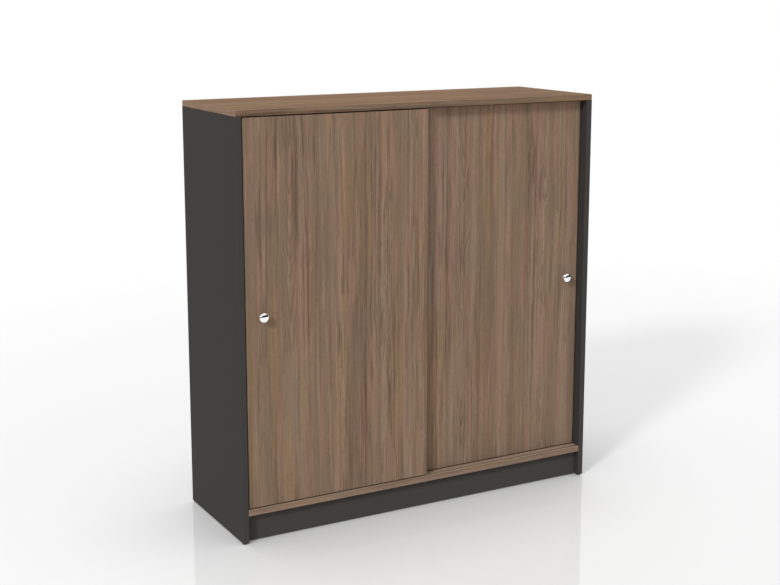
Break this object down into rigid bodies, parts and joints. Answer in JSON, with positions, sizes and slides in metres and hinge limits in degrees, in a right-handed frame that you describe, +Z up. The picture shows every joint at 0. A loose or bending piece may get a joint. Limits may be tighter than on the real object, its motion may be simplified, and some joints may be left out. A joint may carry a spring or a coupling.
{
  "type": "sliding door cabinet",
  "caption": "Shoulder-high office cupboard with two walnut sliding doors that pass each other in a charcoal carcass, with adjustable shelves behind.",
  "frame": {"origin": "on the floor, under the middle of the box that the whole cabinet with its knobs fills", "axes": "+X to the right seen from the front, +Y to the back, +Z up"},
  "size_m": [1.2, 0.422, 1.244],
  "materials": {
    "walnut_laminate": "matt textured laminate",
    "charcoal_melamine": "matt melamine",
    "polished_chrome": "polished",
    "nickel_steel": "bright",
    "brown_nylon": "moulded",
    "black_plastic": "moulded",
    "brown_plastic": "extruded"
  },
  "bodies": {
    "cabinet": {"top_panel": "walnut_laminate", "base_panel": "walnut_laminate", "back_panel": "charcoal_melamine", "centre_divider": "charcoal_melamine", "kickboard": "charcoal_melamine", "rear_plinth_rail": "charcoal_melamine", "left_side_panel": "charcoal_melamine", "right_side_panel": "charcoal_melamine", "left_front_glide": "black_plastic", "left_rear_glide": "black_plastic", "right_front_glide": "black_plastic", "right_rear_glide": "black_plastic", "front_bottom_track": "brown_plastic", "front_top_track": "brown_plastic", "rear_bottom_track": "brown_plastic", "rear_top_track": "brown_plastic", "left_shelf_1": "charcoal_melamine", "left_shelf_1_pin_1": "nickel_steel", "left_shelf_1_pin_2": "nickel_steel", "left_shelf_1_pin_3": "nickel_steel", "left_shelf_1_pin_4": "nickel_steel", "left_shelf_2": "charcoal_melamine", "left_shelf_2_pin_1": "nickel_steel", "left_shelf_2_pin_2": "nickel_steel", "left_shelf_2_pin_3": "nickel_steel", "left_shelf_2_pin_4": "nickel_steel", "right_shelf_1": "charcoal_melamine", "right_shelf_1_pin_1": "nickel_steel", "right_shelf_1_pin_2": "nickel_steel", "right_shelf_1_pin_3": "nickel_steel", "right_shelf_1_pin_4": "nickel_steel", "right_shelf_2": "charcoal_melamine", "right_shelf_2_pin_1": "nickel_steel", "right_shelf_2_pin_2": "nickel_steel", "right_shelf_2_pin_3": "nickel_steel", "right_shelf_2_pin_4": "nickel_steel"},
    "left_door": {"left_door_panel": "walnut_laminate", "left_door_knob": "polished_chrome", "left_door_left_roller_housing": "brown_nylon", "left_door_left_roller_axle": "nickel_steel", "left_door_left_guide_body": "black_plastic", "left_door_right_roller_housing": "brown_nylon", "left_door_right_roller_axle": "nickel_steel", "left_door_right_guide_body": "black_plastic"},
    "right_door": {"right_door_panel": "walnut_laminate", "right_door_knob": "polished_chrome", "right_door_left_roller_housing": "brown_nylon", "right_door_left_roller_axle": "nickel_steel", "right_door_left_guide_body": "black_plastic", "right_door_right_roller_housing": "brown_nylon", "right_door_right_roller_axle": "nickel_steel", "right_door_right_guide_body": "black_plastic"},
    "left_door_left_wheel": {"left_door_left_roller_wheel": "brown_nylon"},
    "left_door_left_plunger": {"left_door_left_guide_plunger": "brown_nylon"},
    "left_door_right_wheel": {"left_door_right_roller_wheel": "brown_nylon"},
    "left_door_right_plunger": {"left_door_right_guide_plunger": "brown_nylon"},
    "right_door_left_wheel": {"right_door_left_roller_wheel": "brown_nylon"},
    "right_door_left_plunger": {"right_door_left_guide_plunger": "brown_nylon"},
    "right_door_right_wheel": {"right_door_right_roller_wheel": "brown_nylon"},
    "right_door_right_plunger": {"right_door_right_guide_plunger": "brown_nylon"}
  },
  "joints": [
    {"name": "left_door_slide", "type": "slide", "parent": "cabinet", "child": "left_door", "axis": [1, 0, 0], "range_m": [0, 0.506]},
    {"name": "right_door_slide", "type": "slide", "parent": "cabinet", "child": "right_door", "axis": [1, 0, 0], "range_m": [-0.506, 0]},
    {"name": "left_door_left_wheel_spin", "type": "hinge", "parent": "left_door", "child": "left_door_left_wheel", "pos_m": [-0.5035, -0.178, 0.111], "axis": [0, 1, 0], "continuous": true},
    {"name": "left_door_left_plunger_press", "type": "slide", "parent": "left_door", "child": "left_door_left_plunger", "axis": [0, 0, 1], "range_m": [-0.0075, 0], "stiffness_N_per_m": 300},
    {"name": "left_door_right_wheel_spin", "type": "hinge", "parent": "left_door", "child": "left_door_right_wheel", "pos_m": [-0.067, -0.178, 0.111], "axis": [0, 1, 0], "continuous": true},
    {"name": "left_door_right_plunger_press", "type": "slide", "parent": "left_door", "child": "left_door_right_plunger", "axis": [0, 0, 1], "range_m": [-0.0075, 0], "stiffness_N_per_m": 300},
    {"name": "right_door_left_wheel_spin", "type": "hinge", "parent": "right_door", "child": "right_door_left_wheel", "pos_m": [0.067, -0.15, 0.111], "axis": [0, 1, 0], "continuous": true},
    {"name": "right_door_left_plunger_press", "type": "slide", "parent": "right_door", "child": "right_door_left_plunger", "axis": [0, 0, 1], "range_m": [-0.0075, 0], "stiffness_N_per_m": 300},
    {"name": "right_door_right_wheel_spin", "type": "hinge", "parent": "right_door", "child": "right_door_right_wheel", "pos_m": [0.5035, -0.15, 0.111], "axis": [0, 1, 0], "continuous": true},
    {"name": "right_door_right_plunger_press", "type": "slide", "parent": "right_door", "child": "right_door_right_plunger", "axis": [0, 0, 1], "range_m": [-0.0075, 0], "stiffness_N_per_m": 300}
  ],
  "couplings": [
    {"joint": "left_door_left_wheel_spin", "follows": "left_door_slide", "rad_per_m": 75.758},
    {"joint": "left_door_right_wheel_spin", "follows": "left_door_slide", "rad_per_m": 75.758},
    {"joint": "right_door_left_wheel_spin", "follows": "right_door_slide", "rad_per_m": 75.758},
    {"joint": "right_door_right_wheel_spin", "follows": "right_door_slide", "rad_per_m": 75.758}
  ]
}
